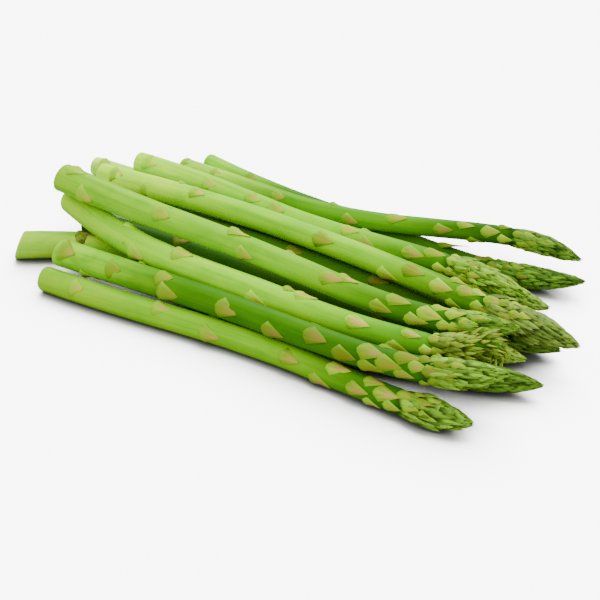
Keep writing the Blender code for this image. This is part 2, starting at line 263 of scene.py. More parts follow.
# The stems
# A stem is round and solid, with a satin skin, faint ribs and fine fibres along it. It is pale and
# woody towards the cut end, where the fibres show as dots, and runs on as a thin core inside the head.

CORE = 0.72  # the core's radius inside a head, as a share of the head's
RINGS, ROUND = 300, 40  # how finely the skin is divided along and round
RIM = 0.0009  # the rounding of the cut edge
FACE_ROWS = 0.035  # the share of the rings that make the cut face
FADE = 0.022  # how far up a slanted cut is felt
CUT_SIDE = math.radians(-30)  # the side on which a slanted cut leaves the stem short
THIN_BEFORE, THIN_OVER = 0.004, 0.012  # how far before the head the stem begins to thin, and over what
RIB_DEPTH, SWELL_DEPTH = 0.05, 0.07  # of the ribs and of the slow swells, as shares of the radius
POINT_STEEP = 150  # how steeply the last rings close to the point
MERGED = 0.000005  # metres within which points of the cut face and of the tip are merged


# A wire of a node tree, so that its sums can be written as they read
class Wire:
    def __init__(self, socket):
        self.socket = socket
        self.tree = socket.id_data

    @staticmethod
    def add(tree, kind, settings=None, inputs=None, out=0):
        node = tree.nodes.new(kind)
        for key, value in (settings or {}).items():
            setattr(node, key, value)
        for key, value in (inputs or {}).items():
            if isinstance(value, Wire):
                tree.links.new(value.socket, node.inputs[key])
            else:
                node.inputs[key].default_value = value
        return Wire(node.outputs[out])

    def sum(self, operation, a, b=None):
        def is_vector(x):
            return isinstance(x, tuple) or isinstance(x, Wire) and x.socket.type in ("VECTOR", "RGBA")

        if operation == "MULTIPLY" and is_vector(a) != is_vector(b):
            vector, factor = (a, b) if is_vector(a) else (b, a)
            values = {0: vector, "Scale": factor}
            return Wire.add(self.tree, "ShaderNodeVectorMath", {"operation": "SCALE"}, values)
        kind = "ShaderNodeVectorMath" if is_vector(a) or is_vector(b) else "ShaderNodeMath"
        values = {n: v for n, v in enumerate((a, b)) if v is not None}
        return Wire.add(self.tree, kind, {"operation": operation}, values)

    def __add__(self, other):
        return self.sum("ADD", self, other)

    def __radd__(self, other):
        return self.sum("ADD", other, self)

    def __sub__(self, other):
        return self.sum("SUBTRACT", self, other)

    def __rsub__(self, other):
        return self.sum("SUBTRACT", other, self)

    def __mul__(self, other):
        return self.sum("MULTIPLY", self, other)

    def __rmul__(self, other):
        return self.sum("MULTIPLY", other, self)

    def __truediv__(self, other):
        return self.sum("DIVIDE", self, other)

    def __pow__(self, other):
        return self.sum("POWER", self, other)

    def cos(self):
        return self.sum("COSINE", self)

    def sin(self):
        return self.sum("SINE", self)

    def abs(self):
        return self.sum("ABSOLUTE", self)

    def least(self, other):
        return self.sum("MINIMUM", self, other)

    def most(self, other):
        return self.sum("MAXIMUM", self, other)

    def cross(self, other):
        return self.sum("CROSS_PRODUCT", self, other)

    def part(self, axis):
        return Wire.add(self.tree, "ShaderNodeSeparateXYZ", {}, {0: self}, axis)

    def rise(self, low, high, least=0.0, most=1.0):
        values = {0: self, 1: low, 2: high, 3: least, 4: most}
        return Wire.add(self.tree, "ShaderNodeMapRange", {"interpolation_type": "SMOOTHSTEP"}, values)

    def noise(self, detail=2.0, roughness=0.5):
        values = {"Vector": self, "Scale": 1.0, "Detail": detail, "Roughness": roughness}
        return Wire.add(self.tree, "ShaderNodeTexNoise", {}, values)

    def blend(self, low, high):
        return Wire.add(self.tree, "ShaderNodeMix", {"data_type": "RGBA"}, {0: self, 6: low, 7: high}, 2)


# The course of a shoot as a line of points that carry what a tree needs to know there
def course_line(name, radii, in_head):
    shoot = shoots[name]
    mesh = bpy.data.meshes.new("course_" + name)
    count = len(shoot.points)
    mesh.from_pydata(shoot.points.tolist(), [(n, n + 1) for n in range(count - 1)], [])
    for key, kind, values in (
        ("radius_here", "FLOAT", radii),
        ("in_head", "FLOAT", in_head),
        ("up_here", "FLOAT_VECTOR", shoot.up),
    ):
        layer = mesh.attributes.new(key, kind, "POINT")
        field = "vector" if kind == "FLOAT_VECTOR" else "value"
        layer.data.foreach_set(field, np.asarray(values, np.float32).ravel())
    obj = bpy.data.objects.new("course_" + name, mesh)
    bpy.context.scene.collection.objects.link(obj)
    return obj


def new_tree(name, inputs):
    tree = bpy.data.node_groups.new(name, "GeometryNodeTree")
    for label, kind in inputs:
        tree.interface.new_socket(label, in_out="INPUT", socket_type="NodeSocket" + kind)
    tree.interface.new_socket("Result", in_out="OUTPUT", socket_type="NodeSocketGeometry")
    given = tree.nodes.new("NodeGroupInput")
    return tree, {label: Wire(given.outputs[label]) for label, _ in inputs}


def named(tree, key, kind="FLOAT"):
    return Wire.add(tree, "GeometryNodeInputNamedAttribute", {"data_type": kind}, {"Name": key})


def stored(tree, geometry, key, kind, value):
    values = {"Geometry": geometry, "Name": key, "Value": value}
    return Wire.add(tree, "GeometryNodeStoreNamedAttribute", {"data_type": kind, "domain": "POINT"}, values)


def sampled(tree, curve, value, kind, along, out="Value"):
    settings = {"mode": "LENGTH", "data_type": kind}
    values = {"Curves": curve, "Value": value, "Length": along}
    return Wire.add(tree, "GeometryNodeSampleCurve", settings, values, out)


def vector(tree, x, y, z):
    return Wire.add(tree, "ShaderNodeCombineXYZ", {}, {0: x, 1: y, 2: z})


def end_tree(tree, geometry, skin):
    smooth = Wire.add(tree, "GeometryNodeSetShadeSmooth", {}, {"Geometry": geometry})
    last = Wire.add(tree, "GeometryNodeSetMaterial", {}, {"Geometry": smooth, "Material": skin})
    end = tree.nodes.new("NodeGroupOutput")
    tree.links.new(last.socket, end.inputs[0])


# The plain mesh that a tree makes of an object
def grown(source, tree, values, name):
    modifier = source.modifiers.new("grow", "NODES")
    modifier.node_group = tree
    for socket in tree.interface.items_tree:
        if socket.in_out == "INPUT" and socket.name in values:
            modifier[socket.identifier] = values[socket.name]
    graph = bpy.context.evaluated_depsgraph_get()
    made = source.evaluated_get(graph)
    mesh = bpy.data.meshes.new_from_object(made, preserve_all_data_layers=True, depsgraph=graph)
    bpy.data.objects.remove(source)
    mesh.name = name
    piece = bpy.data.objects.new(name, mesh)
    bpy.context.scene.collection.objects.link(piece)
    return piece


# A sheet of rings is wrapped round the course: its first rows fold in to the cut face and its last row
# closes the point
stem_tree, given = new_tree("wrap_stem", (
    ("Course", "Geometry"), ("Rings", "Int"), ("Round", "Int"), ("Cut slant", "Float"),
    ("Seed", "Float"), ("Skin", "Material"),
))
line = Wire.add(stem_tree, "GeometryNodeMeshToCurve", {}, {"Mesh": given["Course"]})
whole = Wire.add(stem_tree, "GeometryNodeCurveLength", {}, {"Curve": line})
sheet = Wire.add(stem_tree, "GeometryNodeMeshGrid", {}, {
    "Size X": 1.0, "Size Y": 1.0, "Vertices X": given["Rings"], "Vertices Y": given["Round"],
})
flat = Wire.add(stem_tree, "GeometryNodeInputPosition")
row = flat.part(0) + 0.5
turn = (flat.part(1) + 0.5) * (2 * math.pi)
face = (row / FACE_ROWS).least(1.0)
share = ((row - FACE_ROWS) / (1 - FACE_ROWS)).most(0.0)
level = face**6 * RIM + share * (whole - RIM)
slant = given["Cut slant"] * (face * (turn - CUT_SIDE).cos() + 1) * 0.5 * (1 - level / FADE).most(0.0)
along = (level + slant).least(whole)
radius_at = sampled(stem_tree, line, named(stem_tree, "radius_here"), "FLOAT", along)
head_at = sampled(stem_tree, line, named(stem_tree, "in_head"), "FLOAT", along)
up_at = sampled(stem_tree, line, named(stem_tree, "up_here", "FLOAT_VECTOR"), "FLOAT_VECTOR", along)
centre = sampled(stem_tree, line, 0.0, "FLOAT", along, "Position")
ahead = sampled(stem_tree, line, 0.0, "FLOAT", along, "Tangent")
out = up_at * turn.cos() + ahead.cross(up_at) * turn.sin()
ribs = vector(stem_tree, turn.cos() * 3.2, turn.sin() * 3.2, along * 9 + given["Seed"]).noise(3.0)
swells = vector(stem_tree, turn.cos() * 0.5, turn.sin() * 0.5, along * 55 + given["Seed"]).noise(1.0)
relief = (ribs - 0.5) * RIB_DEPTH + (swells - 0.5) * SWELL_DEPTH + 1
closing = ((1 - row) * POINT_STEEP).least(1.0)
bare = radius_at * face * closing * relief
grain = vector(stem_tree, turn.cos() * radius_at, turn.sin() * radius_at, along)
sheet = stored(stem_tree, sheet, "grain", "FLOAT_VECTOR", grain)
spot = vector(stem_tree, along / whole, face, head_at)
sheet = stored(stem_tree, sheet, "spot", "FLOAT_VECTOR", spot)
sheet = Wire.add(stem_tree, "GeometryNodeSetPosition", {}, {
    "Geometry": sheet, "Position": centre + out * bare,
})
sheet = Wire.add(stem_tree, "GeometryNodeMergeByDistance", {}, {"Geometry": sheet, "Distance": MERGED})
spots = Wire.add(stem_tree, "GeometryNodeInputPosition")
pressed = vector(stem_tree, spots.part(0), spots.part(1), spots.part(2).most(0.0))
sheet = Wire.add(stem_tree, "GeometryNodeSetPosition", {}, {"Geometry": sheet, "Position": pressed})
end_tree(stem_tree, sheet, given["Skin"])


# A colour as the percentages of red, green and blue light that a surface throws back
def paint(r, g, b):
    return (r / 100, g / 100, b / 100, 1.0)


def dimmed(colour, r, g, b):
    return (r * colour[0], g * colour[1], b * colour[2], 1.0)


def new_skin(name):
    skin = bpy.data.materials.new(name)
    skin.use_nodes = True
    return skin, skin.node_tree, skin.node_tree.nodes["Principled BSDF"]


def measure(tree, key, out="Vector"):
    return Wire.add(tree, "ShaderNodeAttribute", {"attribute_name": key}, {}, out)


# Gives a shader its colour, its roughness and a relief of the given depth in metres
def dress(tree, shader, colour, roughness, height, depth, gloss):
    bump = Wire.add(tree, "ShaderNodeBump", {}, {"Strength": 0.35, "Distance": depth, "Height": height})
    for key, wire in (("Base Color", colour), ("Roughness", roughness), ("Normal", bump)):
        tree.links.new(wire.socket, shader.inputs[key])
    shader.inputs["Specular IOR Level"].default_value = gloss


# green: the middle of the stem, pale: its cut end, deep: below the head
STEM_COLOURS = {
    "a": (paint(19, 50, 0.3), paint(21, 50, 0.6), paint(3.2, 14.5, 0.2)),
    "b": (paint(24, 61, 0.2), paint(26, 56, 0.6), paint(8, 30, 0.3)),
    "c": (paint(18, 46, 0.6), paint(28, 57, 2.0), paint(6, 20, 0.5)),
    # spear d's middle and neck colours are darkened as painted shade, for the shade of spear b lying over it
    "d": (paint(4.2, 17, 0.2), paint(25, 62, 0.4), paint(2.4, 12, 0.2)),
    "e": (paint(17, 46, 0.2), paint(20, 46, 0.4), paint(2.8, 14.5, 0.2)),
    "f": (paint(22, 54, 0.6), paint(50, 90, 6.0), paint(7, 22, 0.5)),
    "g": (paint(24, 61, 0.2), paint(44, 84, 1.0), paint(3.6, 15, 0.2)),
    "h": (paint(20, 54, 0.2), paint(42, 80, 1.2), paint(4, 18, 0.3)),
    "i": (paint(10, 33, 0.2), paint(37, 70, 2.0), paint(2, 10, 0.2)),
    "j": (paint(4, 15, 0.3), paint(22, 60, 0.6), paint(2.5, 9, 0.3)),
    "k": (paint(4.5, 16, 0.3), paint(12, 34, 0.8), paint(2, 7, 0.3)),
    # spear l is dark all over as painted shade, for the deep crevice between spears a and b where it lies
    "l": (paint(2.2, 8, 0.3), paint(2.4, 8, 0.4), paint(2, 7, 0.3)),
}
CUT_FACE = paint(52, 66, 22)
WOOD_DOT = paint(32, 45, 10)
PIT = paint(8, 20, 0.8)
# how fine the marks of the skin are to the metre, twice across the stem and once along it
FIBRES, BANDS, MOTTLE = (1500.0, 1500.0, 40.0), (420.0, 420.0, 14.0), (120.0, 120.0, 60.0)
PITS, DOTS = (95.0, 95.0, 42.0), (2600.0, 2600.0, 100.0)
# what bands and mottle do to the red, green and blue of the skin
LIGHT_BAND, DARK_BAND = (1.35, 1.15, 1.0), (0.6, 0.72, 0.8)
LIGHT_MOTTLE, DARK_MOTTLE = (1.4, 1.1, 1.0), (0.6, 0.78, 0.8)
PALE_PART, DEEP_PART = (0.02, 0.34), (0.52, 0.84)  # the shares of the stem where the colour changes


def stem_skin(name, green, pale, deep, seed):
    skin, tree, shader = new_skin("skin_" + name)
    grain, spot = measure(tree, "grain"), measure(tree, "spot")
    share, face, in_head = spot.part(0), spot.part(1), spot.part(2)
    moved = grain + (0.0, 0.0, 0.7 * seed)
    fibres = (moved * FIBRES).noise(3.0, 0.65)
    bands = (moved * BANDS).noise(2.0, 0.5)
    mottle = (moved * MOTTLE).noise(3.0, 0.6)
    butt = (1 - share.rise(*PALE_PART)) * (mottle + 0.45).least(1.0)
    colour = butt.blend(green, pale)
    colour = (share + (bands - 0.5) * 0.25).rise(*DEEP_PART).blend(colour, deep)
    colour = (fibres.rise(0.5, 0.78) * 0.25).blend(colour, colour * 1.3)
    colour = (bands.rise(0.48, 0.7) * 0.5).blend(colour, colour * LIGHT_BAND)
    colour = ((1 - bands).rise(0.48, 0.7) * 0.6).blend(colour, colour * DARK_BAND)
    colour = (mottle.rise(0.5, 0.7) * 0.5).blend(colour, colour * LIGHT_MOTTLE)
    colour = ((1 - mottle).rise(0.5, 0.7) * 0.5).blend(colour, colour * DARK_MOTTLE)
    cells = Wire.add(tree, "ShaderNodeTexVoronoi", {}, {"Vector": moved * PITS, "Scale": 1.0})
    pits = 1 - cells.rise(0.03, 0.075)
    colour = (pits * 0.6).blend(colour, PIT)
    dots = (grain * DOTS).noise(1.0)
    end = 1 - face.rise(0.9, 1.0)
    colour = end.blend(colour, dots.rise(0.5, 0.62).blend(CUT_FACE, WOOD_DOT))
    # inside the head the core is darkened to a third of the deep colour: painted shade in the gaps between
    # the buds
    colour = (in_head.rise(0.0, 0.4) * 0.8).blend(colour, dimmed(deep, 0.3, 0.4, 0.2))
    roughness = 0.36 + mottle * 0.14 + end * 0.3
    height = fibres * 0.35 + bands * 0.8 + mottle * 0.4 - pits * 1.5 - dots * end
    dress(tree, shader, colour, roughness, height, 0.0004, 0.02)
    return skin


for name, spear in SPEARS.items():
    shoot = shoots[name]
    in_head = np.clip((shoot.run - spear["head_from"] + THIN_BEFORE) / THIN_OVER, 0, 1)
    radii = shoot.r * (1 - (1 - CORE) * in_head)
    source = course_line(name, radii, in_head)
    stem = grown(source, stem_tree, {
        "Rings": RINGS, "Round": ROUND, "Cut slant": spear["cut"] * MM,
        "Seed": float(spear["seed"]), "Skin": stem_skin(name, *STEM_COLOURS[name], spear["seed"]),
    }, "stem_" + name)
    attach(stem, "root")
    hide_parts("spear_" + name)


# The scale leaves
# Every shoot carries small three-cornered leaves in a spiral, pressed to the stem, each over a dormant
# bud. They are thin and papery, pale with a tan or pink middle, and crowd together up to the head.

SCALE_LENGTH = (1.5, 2.2)  # of the lowest and the upper ones, as multiples of the stem's radius
UPPER_SCALES = 0.75  # the share of the stem past which all scales are upper ones
SCALE_STEP_BUTT, SCALE_STEP_NECK = 29.0, 8.0  # mm from one to the next up the stem
SCALE_ROOM = 9.5  # mm that a scale keeps from the next one
CROWDED_FROM, CROWDED_TO = 7.0, 0.4  # mm before the head, and share of it, where the scales crowd
CROWDED_STEP, CROWDED_ROOM = 0.9, 4.4  # mm there
NOD_CROWDED = 0.4  # the share of that stretch on the wilted head of spear b
ROOT_BEFORE = 4  # mm: a scale's place in its spear's row is its middle, and its root lies this far before
FIRST_SCALE = 14.0  # mm from the butt where the spiral starts
# sizes against the full one: of the marked ones, the smaller ones, the spiral's and the crowded ones
MARKED_SIZE, MORE_SIZE, SPIRAL_SIZE, CROWDED_SIZE = 0.8, 0.7, 0.9, 0.64
CROWDED_SHRINK = 0.24  # how much smaller the last crowded ones are
LOW_WIDER, LOW_ROUGHER = 0.22, 0.5  # how much wider and rougher the lowest scales are
LOW_SUNK, CROWDED_SUNK = 0.07, 0.06  # how deep the lowest and the crowded ones root, of the radius
SCALE_ROUGHENING, ROUGH_GRAIN = 0.0003, 260.0  # how far the noise moves a scale's points, and how fine it is
KEPT_OFF = 0.0003  # metres that a leaf keeps from the surface and the other spears
LEAF_RISE = 0.0006  # metres over the skin where its room is tested
LEAST_HEIGHT = 0.0001  # metres over the surface under which no point of a leaf goes
MARKED_SIDE = (-40, 128)  # the side whose scales are given with each spear
GOLDEN_ANGLE = 137.5
# how light the scales of a spear are, where not 1; those of spears d and l are lowered as painted shade, for
# the shade they lie in
SCALE_SHADES = {
    "j": 0.5, "i": 0.7, "k": 0.5, "l": 0.6, "c": 0.8, "f": 0.8, "d": 0.55, "a": 0.85, "g": 0.88, "e": 0.88,
}
# the scales that stand off the stem: their length and width against the others', and how far they open
STANDING_SCALES = {("j", 147): (2.1, 0.55, 0.3)}
# the scales that have dried dark, by spear and place, and how dark
DARK_SCALES = {("c", 35): 0.95, ("l", 55): 0.9, ("l", 164): 0.85, ("k", 116): 0.6, ("k", 162): 0.6}


# A leaf of length 1 on a stem of radius 1: half width as an angle and height over the skin, by the share
# along the leaf (0 its root, 1 its tip) and across it (-1 to 1). It is a closed blade, thick at the
# root, whose root edge bows out towards the butt.
def leaf_mesh(name, half_width, height, thick, hollow_root, rows, across):
    tops, unders, blades = [], [], []
    for j in range(rows):
        v = j / (rows - 1)
        for i in range(across):
            u = 2 * i / (across - 1) - 1
            turn = u * half_width(v)
            x = v - hollow_root * (1 - u * u) * (1 - v)
            top = 1 + height(u, v)
            under = top - thick * (1 - 0.6 * v) * (1 - 0.5 * abs(u))
            tops.append((x, top * math.sin(turn), top * math.cos(turn) - 1))
            unders.append((x, under * math.sin(turn), under * math.cos(turn) - 1))
            blades.append((u, v, 0))
    n = len(tops)
    faces = []
    for j in range(rows - 1):
        for i in range(across - 1):
            a = j * across + i
            faces.append((a, a + 1, a + 1 + across, a + across))
            faces.append((n + a, n + a + across, n + a + 1 + across, n + a + 1))
    rim = [i for i in range(across)] + [j * across + across - 1 for j in range(1, rows)]
    rim += [(rows - 1) * across + i for i in range(across - 2, -1, -1)]
    rim += [j * across for j in range(rows - 2, 0, -1)]
    for a, b in zip(rim, rim[1:] + rim[:1]):
        faces.append((a, a + n, b + n, b))
    mesh = bpy.data.meshes.new(name)
    mesh.from_pydata(tops + unders, [], faces)
    layer = mesh.attributes.new("blade", "FLOAT_VECTOR", "POINT")
    layer.data.foreach_set("vector", np.array(blades * 2, np.float32).ravel())
    bm = bmesh.new()
    bm.from_mesh(mesh)
    bmesh.ops.remove_doubles(bm, verts=bm.verts, dist=0.002)
    bmesh.ops.recalc_face_normals(bm, faces=bm.faces)
    bm.to_mesh(mesh)
    bm.free()
    obj = bpy.data.objects.new(name, mesh)
    bpy.context.scene.collection.objects.link(obj)
    return obj


def scale_half_width(v):
    if v < 0.14:
        return 0.8 * (0.72 + 0.28 * math.sin(v / 0.14 * math.pi / 2))
    return 0.8 * (1 - (v - 0.14) / 0.86) ** 0.95 + 0.004


def scale_height(u, v):
    bulge = 0.27 * math.exp(-(((v - 0.24) / 0.22) ** 2)) * (1 - 0.8 * u * u)
    return 0.03 + bulge + 0.03 * v - 0.14 * max(0.0, 0.08 - v) / 0.08


scale_leaf = leaf_mesh("scale_leaf", scale_half_width, scale_height, 0.14, 0.16, 8, 5)

# Each point of the input is a leaf's root. The tree finds its place on the shoot, turns the leaf to lie
# along the stem with its back outwards, and roughens the result.
leaf_tree, given = new_tree("set_leaves", (
    ("Roots", "Geometry"), ("Shoot", "Object"), ("Leaf", "Object"), ("Roughening", "Float"),
    ("Seed", "Float"), ("Skin", "Material"),
))
line = Wire.add(leaf_tree, "GeometryNodeMeshToCurve", {}, {
    "Mesh": Wire.add(leaf_tree, "GeometryNodeObjectInfo", {}, {"Object": given["Shoot"]}, "Geometry"),
})
along, turn = named(leaf_tree, "along"), named(leaf_tree, "turn")
radius_at = sampled(leaf_tree, line, named(leaf_tree, "radius_here"), "FLOAT", along)
up_at = sampled(leaf_tree, line, named(leaf_tree, "up_here", "FLOAT_VECTOR"), "FLOAT_VECTOR", along)
centre = sampled(leaf_tree, line, 0.0, "FLOAT", along, "Position")
ahead = sampled(leaf_tree, line, 0.0, "FLOAT", along, "Tangent")
out = up_at * turn.cos() + ahead.cross(up_at) * turn.sin()
roots = Wire.add(leaf_tree, "GeometryNodeSetPosition", {}, {
    "Geometry": given["Roots"], "Position": centre + out * (radius_at - named(leaf_tree, "sunk")),
})
lying = Wire.add(leaf_tree, "FunctionNodeAxesToRotation", {"primary_axis": "Z", "secondary_axis": "X"}, {
    "Primary Axis": out, "Secondary Axis": ahead,
})
tilt = vector(leaf_tree, named(leaf_tree, "roll"), named(leaf_tree, "open") * -1.0, named(leaf_tree, "yaw"))
lying = Wire.add(leaf_tree, "FunctionNodeRotateRotation", {"rotation_space": "LOCAL"}, {
    "Rotation": lying, "Rotate By": Wire.add(leaf_tree, "FunctionNodeEulerToRotation", {}, {"Euler": tilt}),
})
shape = Wire.add(leaf_tree, "GeometryNodeObjectInfo", {}, {"Object": given["Leaf"]}, "Geometry")
leaves = Wire.add(leaf_tree, "GeometryNodeInstanceOnPoints", {}, {
    "Points": roots, "Instance": shape, "Rotation": lying,
    "Scale": named(leaf_tree, "size", "FLOAT_VECTOR"),
})
leaves = Wire.add(leaf_tree, "GeometryNodeRealizeInstances", {}, {"Geometry": leaves})
spots = Wire.add(leaf_tree, "GeometryNodeInputPosition")
rough = Wire.add(leaf_tree, "ShaderNodeTexNoise", {}, {
    "Vector": spots * ROUGH_GRAIN + vector(leaf_tree, given["Seed"], 0.0, 0.0), "Scale": 1.0, "Detail": 2.0,
}, "Color")
shake = (rough - (0.5, 0.5, 0.5)) * (given["Roughening"] * (1 + LOW_ROUGHER * named(leaf_tree, "low")))
leaves = Wire.add(leaf_tree, "GeometryNodeSetPosition", {}, {"Geometry": leaves, "Offset": shake})
spots = Wire.add(leaf_tree, "GeometryNodeInputPosition")
pressed = vector(leaf_tree, spots.part(0), spots.part(1), spots.part(2).most(LEAST_HEIGHT))
leaves = Wire.add(leaf_tree, "GeometryNodeSetPosition", {}, {"Geometry": leaves, "Position": pressed})
end_tree(leaf_tree, leaves, given["Skin"])


# One root: distance along (m), angle round, length, width and height of the leaf (m), how far it is
# sunk (m), how far its tip opens, how it is turned in its place and rolled, tint: (how tan, how dark, a
# draw of its own), and low: how far down the shoot it grows, from 0 to 1
def root(along, turn, size, sunk=0.0, open=0.0, yaw=0.0, roll=0.0, tint=(0.0, 0.0, 0.0), low=0.0):
    return dict(
        along=along, turn=turn, size=size, sunk=sunk, open=open, yaw=yaw, roll=roll, tint=tint, low=low,
    )


def set_leaves(name, shoot_name, leaf, roots, roughening, seed, skin):
    mesh = bpy.data.meshes.new(name)
    mesh.from_pydata([(0, 0, 0)] * len(roots), [], [])
    for key in ("along", "turn", "size", "sunk", "open", "yaw", "roll", "tint", "low"):
        is_vector = key in ("size", "tint")
        layer = mesh.attributes.new(key, "FLOAT_VECTOR" if is_vector else "FLOAT", "POINT")
        values = np.array([r[key] for r in roots], np.float32).ravel()
        layer.data.foreach_set("vector" if is_vector else "value", values)
    source = bpy.data.objects.new(name, mesh)
    bpy.context.scene.collection.objects.link(source)
    shoot = shoots[shoot_name]
    line = course_line(shoot_name, shoot.r, np.zeros(len(shoot.r)))
    piece = grown(source, leaf_tree, {
        "Shoot": line, "Leaf": leaf, "Roughening": roughening, "Seed": float(seed), "Skin": skin,
    }, name)
    bpy.data.objects.remove(line)
    return piece


# the blade and its edge, its middle (tan or pink), what has dried, and its veins
PALE_SCALE, BRIGHT_EDGE = paint(36, 66, 1.2), paint(48, 88, 2)
TAN, PINK, BROWN = paint(56, 52, 4), paint(74, 48, 11), paint(9, 5.5, 2)
SCALE_VEIN = paint(14, 32, 0.6)


def scale_skin(name, green, pale, deep, shade):
    skin, tree, shader = new_skin("scale_skin_" + name)
    blade, tint, low = measure(tree, "blade"), measure(tree, "tint"), measure(tree, "low", "Fac")
    place = Wire.add(tree, "ShaderNodeTexCoord", {}, {}, "Object")
    across, along = blade.part(0).abs(), blade.part(1)
    tan, dark, draw = tint.part(0), tint.part(1), tint.part(2)
    cloud = (place * (450.0, 450.0, 450.0)).noise(3.0, 0.6)
    veins = vector(tree, blade.part(0) * 3.5 + draw * 40.0, along * 1.5, draw * 9.0).noise(2.0, 0.6)
    fade = (along + (cloud - 0.5) * 0.35).rise(low * 0.08 - 0.05, low * 0.25 + 0.12)
    leaf, dry, pink, edge = (dimmed(c, shade, shade, shade) for c in (PALE_SCALE, TAN, PINK, BRIGHT_EDGE))
    share = (1 - low) * UPPER_SCALES
    stem = (1 - share.rise(*PALE_PART)).blend(green, pale)
    stem = share.rise(0.52, 0.9).blend(stem, deep)
    colour = fade.blend(stem, leaf)
    upper = (along + (cloud - 0.5) * 0.4).rise(0.15 + low * 0.25, 0.6 + low * 0.25)
    middle = (1 - across.rise(0.3, 0.9)) * upper
    colour = (middle * (tan + 0.25)).least(1.0).blend(colour, draw.rise(0.3, 0.7).blend(dry, pink))
    colour = ((1 - veins).rise(0.45, 0.65) * (0.5 - 0.4 * low)).blend(colour, SCALE_VEIN)
    rim = (1 - along.rise(0.0, 0.16)).most(across.rise(0.72, 0.95) * 0.7) * (1 - 0.6 * low)
    colour = (rim * 0.85).blend(colour, edge)
    colour = colour * (1.0 - 0.45 * (draw * 7.3).sin().abs() * (1 - low))
    worn = (dark + low * along.rise(0.8, 1.0) * 0.5).least(1.0)
    colour = (worn * (cloud.rise(0.25, 0.7) * 0.5 + 0.5)).blend(colour, BROWN)
    dress(tree, shader, colour, 0.5 + cloud * 0.15, veins * 0.6 + cloud * 0.5, 0.0003, 0.05)
    return skin


# Whether a leaf keeps clear of the surface and of the other spears
def is_clear(name, along, turn, size):
    shoot = shoots[name]
    for onwards, sideways in ((0, 0), (0.4, 0.5), (0.4, -0.5), (0.9, 0)):
        there = min(along + onwards * size[0], shoot.length)
        spot = shoot.place(there, turn + sideways * size[1] / shoot.skin(there), LEAF_RISE)
        if spot[2] < KEPT_OFF:
            return False
        for other, stem in shoots.items():
            if other != name and (np.linalg.norm(stem.points - spot, axis=1) - stem.r).min() < KEPT_OFF:
                return False
    return True


# The marked scales first, then the spiral fills what is left of the stem. Also gives the angle and the
# draw with which the spiral runs on into the head.
def scale_roots(name, spear):
    shoot = shoots[name]
    draw = np.random.RandomState(spear["seed"])
    placed, roots = [], []

    def add(s, angle, size, tan, dark=0.0, deeper=0.0, stands=(1.0, 1.0, 0.0)):
        r = shoot.skin(s * MM)
        turn = math.radians(angle)
        low = 1 - min(1.0, s * MM / spear["head_from"] / UPPER_SCALES)
        length = (SCALE_LENGTH[0] * low + SCALE_LENGTH[1] * (1 - low)) * (0.94 + 0.12 * draw.rand())
        lengths = (length * r * size * stands[0], r * size * (1 + LOW_WIDER * low) * stands[1], r * size)
        placed.append((s, angle))
        if is_clear(name, s * MM, turn, lengths):
            tint = (tan, max(dark, 0.15 * draw.rand() ** 3), draw.rand())
            yaw = 0.3 * (draw.rand() - 0.5)
            sunk = r * (LOW_SUNK * low + CROWDED_SUNK * deeper)
            opened = 0.03 * draw.rand() + stands[2]
            roots.append(root(s * MM, turn, lengths, sunk, opened, yaw, 0.0, tint, low))

    for s, angle in spear["scales"]:
        dark, stands = DARK_SCALES.get((name, s), 0.0), STANDING_SCALES.get((name, s), (1.0, 1.0, 0.0))
        size, tan = MARKED_SIZE + 0.16 * draw.rand(), 0.5 + 0.5 * draw.rand()
        add(s - ROOT_BEFORE, angle, size, tan, dark, 0.0, stands)
    for s, angle in spear["more"]:
        add(s - ROOT_BEFORE, angle, MORE_SIZE, 0.35 + 0.3 * draw.rand())
    s, angle = FIRST_SCALE + 6 * draw.rand(), 360 * draw.rand()
    head_from = spear["head_from"] / MM
    while s < head_from + CROWDED_TO * spear["head"] * (NOD_CROWDED if name == "b" else 1.0):
        crowded = s > head_from - CROWDED_FROM
        free = crowded or not MARKED_SIDE[0] < (angle + 180) % 360 - 180 < MARKED_SIDE[1]
        for ps, pa in placed:
            round_way = math.radians(abs((angle - pa + 180) % 360 - 180)) * shoot.skin(s * MM) / MM
            room = CROWDED_ROOM if crowded else SCALE_ROOM
            free = free and math.hypot(s - ps, round_way) > room
        into = max(0.0, (s - head_from) / (CROWDED_TO * spear["head"]))
        if free:
            size = (CROWDED_SIZE if crowded else SPIRAL_SIZE) - CROWDED_SHRINK * into
            add(s, angle, size, 0.2 + 0.6 * draw.rand(), 0.0, into)
        step = min(s / head_from, 1.0) ** 0.8
        s += CROWDED_STEP if crowded else SCALE_STEP_BUTT + (SCALE_STEP_NECK - SCALE_STEP_BUTT) * step
        angle += GOLDEN_ANGLE + 16 * (draw.rand() - 0.5)
    return roots, angle, draw


spirals = {}
for name, spear in SPEARS.items():
    roots, angle, draw = scale_roots(name, spear)
    spirals[name] = (angle, draw)
    skin = scale_skin(name, *STEM_COLOURS[name], SCALE_SHADES.get(name, 1.0))
    scales = set_leaves("scales_" + name, name, scale_leaf, roots, SCALE_ROUGHENING, spear["seed"], skin)
    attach(scales, "root")
    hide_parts("spear_" + name)
bpy.data.objects.remove(scale_leaf)


# The bud heads
# The tip of a shoot is packed with unopened side buds, each under its own scale leaf, in the same spiral
# as the scales below. They are domed, pale at the edge, and point to the tip; dark gaps show between
# them where the head has begun to open, and the wilted head of spear b hangs out thin threads.

